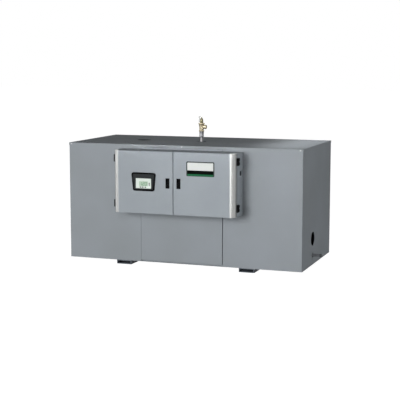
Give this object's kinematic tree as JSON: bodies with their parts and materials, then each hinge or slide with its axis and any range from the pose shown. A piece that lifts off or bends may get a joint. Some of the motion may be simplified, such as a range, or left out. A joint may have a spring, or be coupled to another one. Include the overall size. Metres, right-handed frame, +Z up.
{
  "type": "commercial electric water heater",
  "caption": "Floor-standing horizontal water heater: grey sheet-metal jacket on two skids, control box with two hinged doors on its front, relief valve on its roof.",
  "frame": {"origin": "centre of the whole footprint, control box and drain included, at floor level", "axes": "+X to the right along the jacket as seen from the control box side, +Y to the back, +Z up"},
  "size_m": [1.981, 1.088, 1.147],
  "materials": {
    "jacket_paint": "satin baked enamel, neutral grey",
    "box_paint": "satin baked enamel, slightly lighter grey",
    "skid_steel": "dark semi-gloss paint on channel steel",
    "black_steel": "black paint",
    "tank_steel": "dark primer on rolled steel",
    "spud_steel": "machined steel",
    "pipe_steel": "black iron pipe",
    "galvanised_steel": "galvanised",
    "plated_steel": "nickel plated, satin",
    "brass": "cast, bead blasted",
    "zinc_plate": "zinc plated sheet",
    "transformer_steel": "varnished laminations",
    "aluminium": "clear anodised, fine brushed",
    "rubber": "matte",
    "black_plastic": "fine texture",
    "hinge_plastic": "black, fine texture",
    "cream_plastic": "moulded, satin",
    "bezel_plastic": "moulded, semi-gloss",
    "display_glass": "pale panel under a clear film",
    "nameplate": "plain plate with a black and a green band, no lettering"
  },
  "bodies": {
    "heater": {"skid_left": "skid_steel", "skid_right": "skid_steel", "base_pan": "jacket_paint", "saddle_left": "black_steel", "saddle_right": "black_steel", "tank_shell": "tank_steel", "tank_head_left": "tank_steel", "tank_head_right": "tank_steel", "outlet_spud": "spud_steel", "inlet_spud": "spud_steel", "drain_pipe": "pipe_steel", "drain_grommet": "rubber", "drain_cap": "black_steel", "relief_spud": "spud_steel", "relief_pipe": "galvanised_steel", "relief_coupling": "galvanised_steel", "relief_body": "brass", "relief_bonnet": "brass", "front_sheet_left": "jacket_paint", "front_sheet_right": "jacket_paint", "access_panel": "jacket_paint", "end_sheet_left": "jacket_paint", "end_sheet_right": "jacket_paint", "back_sheet_left": "jacket_paint", "back_sheet_right": "jacket_paint", "back_panel": "jacket_paint", "roof": "jacket_paint", "control_box": "box_paint", "mounting_plate": "zinc_plate", "contactors": "black_plastic", "fuse_blocks": "black_plastic", "terminal_strip": "cream_plastic", "control_transformer": "transformer_steel", "box_hinges_left": "hinge_plastic", "box_hinges_right": "hinge_plastic"},
    "door_left": {"door_left": "box_paint", "edge_strip_left": "aluminium", "door_hinges_left": "hinge_plastic", "latch_left": "black_plastic", "display_bezel": "bezel_plastic", "display_glass": "display_glass", "display_case": "black_plastic"},
    "door_right": {"door_right": "box_paint", "edge_strip_right": "aluminium", "door_hinges_right": "hinge_plastic", "latch_right": "black_plastic", "nameplate": "nameplate"},
    "relief_lever": {"relief_lever": "plated_steel"}
  },
  "joints": [
    {"name": "door_left_hinge", "type": "hinge", "parent": "heater", "child": "door_left", "pos_m": [-0.533, -0.494, 0.6775], "axis": [0, 0, -1], "range_deg": [0, 110]},
    {"name": "door_right_hinge", "type": "hinge", "parent": "heater", "child": "door_right", "pos_m": [0.457, -0.494, 0.6775], "axis": [0, 0, 1], "range_deg": [0, 110]},
    {"name": "relief_lever_hinge", "type": "hinge", "parent": "heater", "child": "relief_lever", "pos_m": [-0.038, 0.096, 1.139], "axis": [0, 1, 0], "range_deg": [0, 70]}
  ]
}
